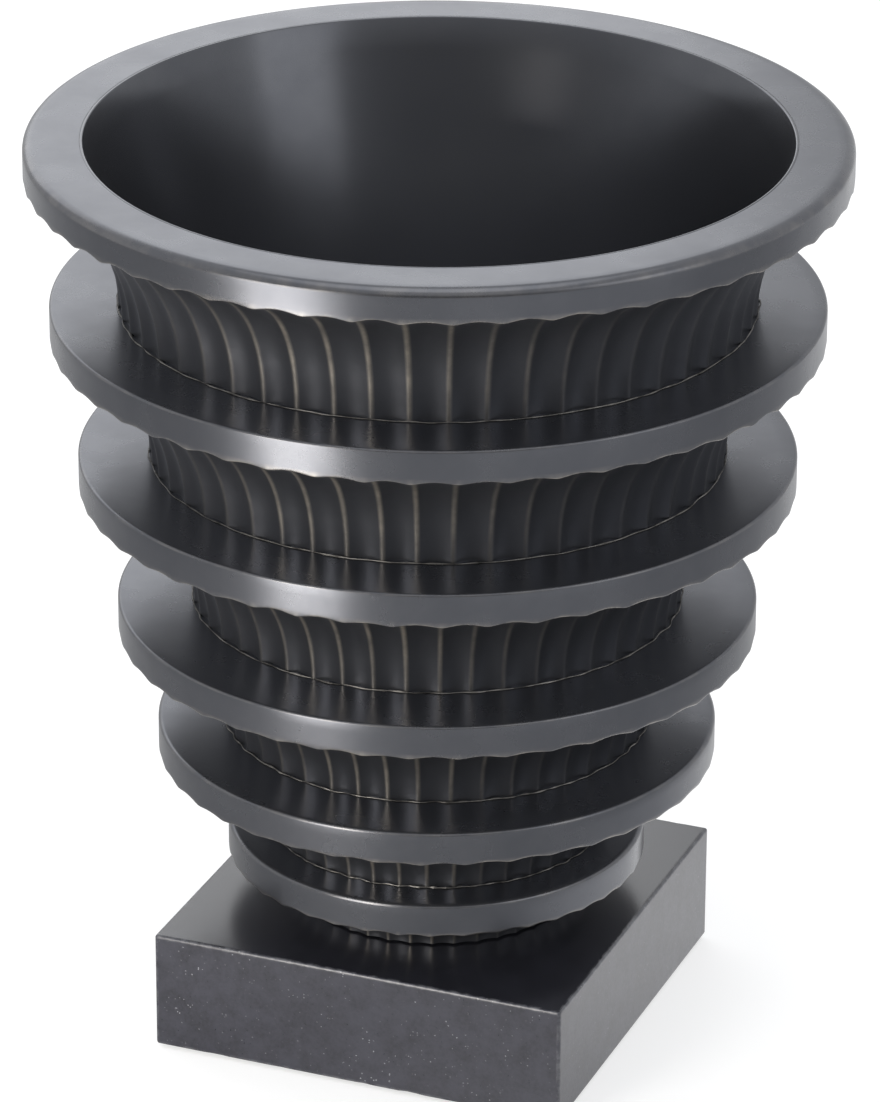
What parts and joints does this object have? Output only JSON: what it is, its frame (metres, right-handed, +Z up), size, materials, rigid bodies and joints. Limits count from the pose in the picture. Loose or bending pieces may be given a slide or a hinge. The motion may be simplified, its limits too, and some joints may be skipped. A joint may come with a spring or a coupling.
{
  "type": "footed_vase",
  "caption": "Footed planter vase of stacked fluted ring castings in dark patinated brass with a smooth spun bowl, bolted to a square honed stone block on four pads.",
  "frame": {"origin": "middle of the surface that the pads stand on, under the axis of the vase", "axes": "+Z up along the axis of the vase, X and Y along the sides of the stone block, -Y the side of the block that the picture shows on the left"},
  "size_m": [0.43, 0.43, 0.5],
  "materials": {
    "patinated_brass": "satin",
    "bowl_brass": "satin",
    "raw_brass": "machined",
    "black_rubber": "matte",
    "dark_stone": "honed",
    "plated_steel": "plated",
    "pad_felt": "felt"
  },
  "bodies": {
    "root": {"rim_tier": "patinated_brass", "second_tier": "patinated_brass", "third_tier": "patinated_brass", "fourth_tier": "patinated_brass", "fifth_tier": "patinated_brass", "foot_tier": "patinated_brass", "inner_bowl": "bowl_brass", "foot_plate": "raw_brass", "foot_gasket": "black_rubber", "stone_base": "dark_stone", "centre_bolt": "plated_steel", "flat_washer": "plated_steel", "spring_washer": "plated_steel", "dowel_pins": "plated_steel", "front_left_pad": "pad_felt", "front_right_pad": "pad_felt", "back_right_pad": "pad_felt", "back_left_pad": "pad_felt"}
  },
  "joints": []
}
